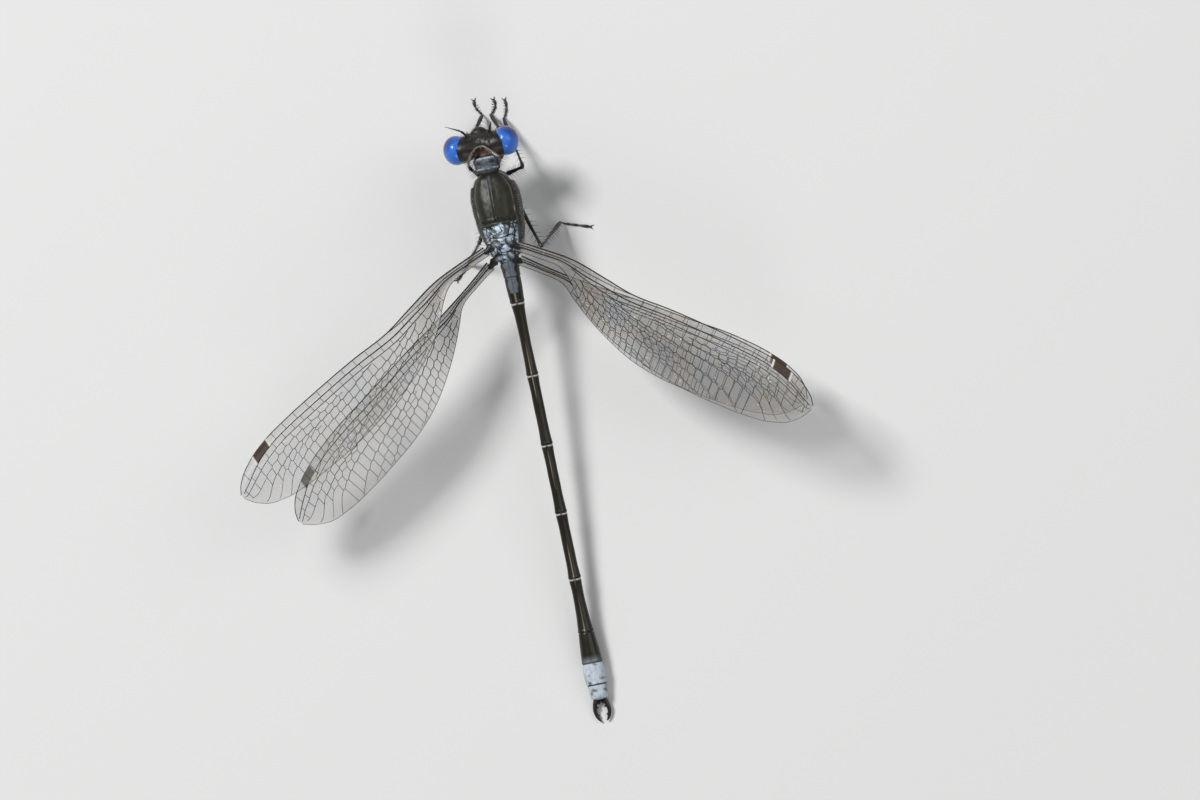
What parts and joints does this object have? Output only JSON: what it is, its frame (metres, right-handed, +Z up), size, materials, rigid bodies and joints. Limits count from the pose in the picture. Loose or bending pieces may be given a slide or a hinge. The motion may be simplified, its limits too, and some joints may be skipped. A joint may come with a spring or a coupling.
{
  "type": "damselfly",
  "caption": "Male spreadwing damselfly at life size, standing with its wings half open and the tip of its long thin tail resting on the floor.",
  "frame": {"origin": "on the floor, at the middle of the footprint of the feet, wings and tail", "axes": "+Y from the tail to the head, +X to the animal's right, +Z up from the floor it stands on"},
  "size_m": [0.039, 0.0434, 0.0087],
  "materials": {
    "eye": "glossy blue compound eye",
    "head": "dark, finely haired cuticle",
    "cuticle": "dark satin cuticle",
    "bronze": "olive bronze cuticle with a metallic sheen",
    "abdomen": "bronze black cuticle with a green sheen",
    "pruinose": "powdery pale blue bloom",
    "slate": "powdery slate blue bloom",
    "wing": "clear membrane with dark veins",
    "gloss_black": "glossy black cuticle"
  },
  "bodies": {
    "root": {"abdomen_1": "abdomen", "abdomen_10": "pruinose", "abdomen_2": "abdomen", "abdomen_3": "abdomen", "abdomen_4": "abdomen", "abdomen_5": "abdomen", "abdomen_6": "abdomen", "abdomen_7": "abdomen", "abdomen_8": "abdomen", "abdomen_9": "pruinose", "antenna_left": "cuticle", "antenna_right": "cuticle", "cercus_left": "gloss_black", "cercus_right": "gloss_black", "eye_left": "eye", "eye_right": "eye", "femur_fore_left": "gloss_black", "femur_fore_right": "gloss_black", "femur_hind_left": "gloss_black", "femur_hind_right": "gloss_black", "femur_mid_left": "gloss_black", "femur_mid_right": "gloss_black", "head": "head", "neck": "cuticle", "prothorax": "slate", "synthorax": "bronze", "tarsus_fore_left": "gloss_black", "tarsus_fore_right": "gloss_black", "tarsus_hind_left": "gloss_black", "tarsus_hind_right": "gloss_black", "tarsus_mid_left": "gloss_black", "tarsus_mid_right": "gloss_black", "tibia_fore_left": "gloss_black", "tibia_fore_right": "gloss_black", "tibia_hind_left": "gloss_black", "tibia_hind_right": "gloss_black", "tibia_mid_left": "gloss_black", "tibia_mid_right": "gloss_black", "wing_fore_left": "wing", "wing_fore_right": "wing", "wing_hind_left": "wing", "wing_hind_right": "wing"}
  },
  "joints": []
}
